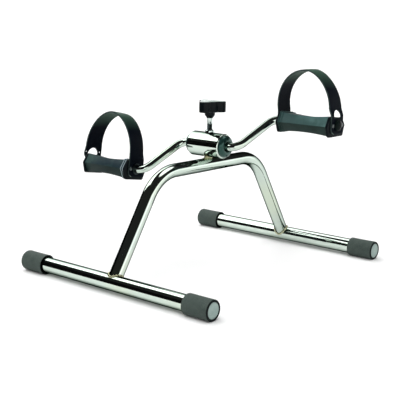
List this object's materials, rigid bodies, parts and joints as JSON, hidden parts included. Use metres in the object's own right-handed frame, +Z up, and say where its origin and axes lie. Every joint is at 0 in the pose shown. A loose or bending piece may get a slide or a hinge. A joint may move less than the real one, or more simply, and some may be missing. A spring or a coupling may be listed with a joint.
{
  "type": "pedal exerciser",
  "caption": "Tubular steel pedal exerciser: floor tubes with rubber tips, an arch, a bent crank with strapped pedals and a knob that sets the drag.",
  "frame": {"origin": "on the floor, midway between the floor tubes and under the middle of the hub", "axes": "+X along the floor tubes and the hub towards the right pedal, +Y from the front floor tube to the rear one, +Z up"},
  "size_m": [0.404, 0.4786, 0.3314],
  "materials": {
    "chrome": "bright chrome plate with fine polishing marks",
    "tip_rubber": "matt moulded rubber, dark grey-green",
    "black_plastic": "moulded black plastic with a soft gloss",
    "pedal_plastic": "moulded near-black green plastic, fine texture",
    "strap_rubber": "smooth flexible strap, dull sheen",
    "nylon": "plain nylon",
    "steel": "turned steel",
    "brake_lining": "dense friction pad"
  },
  "bodies": {
    "frame": {"front_floor_tube": "chrome", "rear_floor_tube": "chrome", "arch_tube": "chrome", "foot_welds": "chrome", "hub_shell": "chrome", "hub_saddle": "chrome", "tension_boss": "chrome", "front_left_tip": "tip_rubber", "front_right_tip": "tip_rubber", "rear_left_tip": "tip_rubber", "rear_right_tip": "tip_rubber", "left_bearing_cap": "black_plastic", "right_bearing_cap": "black_plastic", "left_bush": "nylon", "right_bush": "nylon"},
    "crank": {"crank_rod": "chrome", "brake_collar": "steel", "left_retaining_washer": "steel", "right_retaining_washer": "steel", "left_spindle_cap": "black_plastic", "right_spindle_cap": "black_plastic"},
    "brake_shoe": {"brake_shoe": "brake_lining"},
    "tension_control": {"tension_screw": "chrome", "tension_knob": "black_plastic"},
    "left_pedal": {"left_pedal_body": "pedal_plastic", "left_inner_plate": "pedal_plastic", "left_outer_plate": "pedal_plastic", "left_foot_strap": "strap_rubber", "left_strap_pegs": "black_plastic"},
    "right_pedal": {"right_pedal_body": "pedal_plastic", "right_inner_plate": "pedal_plastic", "right_outer_plate": "pedal_plastic", "right_foot_strap": "strap_rubber", "right_strap_pegs": "black_plastic"}
  },
  "joints": [
    {"name": "crank_spin", "type": "hinge", "parent": "frame", "child": "crank", "pos_m": [0, 0, 0.2034], "axis": [1, 0, 0], "continuous": true},
    {"name": "left_pedal_spin", "type": "hinge", "parent": "crank", "child": "left_pedal", "pos_m": [-0.14489, -0.07534, 0.1599], "axis": [1, 0, 0], "continuous": true},
    {"name": "right_pedal_spin", "type": "hinge", "parent": "crank", "child": "right_pedal", "pos_m": [0.14489, 0.07534, 0.2469], "axis": [1, 0, 0], "continuous": true},
    {"name": "brake_shoe_slide", "type": "slide", "parent": "frame", "child": "brake_shoe", "axis": [0, 0, 1], "range_m": [0, 0.003]},
    {"name": "knob_turn", "type": "hinge", "parent": "brake_shoe", "child": "tension_control", "pos_m": [0, 0, 0.25], "axis": [0, 0, 1], "range_deg": [0, 720]}
  ],
  "couplings": [
    {"joint": "brake_shoe_slide", "follows": "knob_turn", "m_per_rad": 0.00023873}
  ]
}
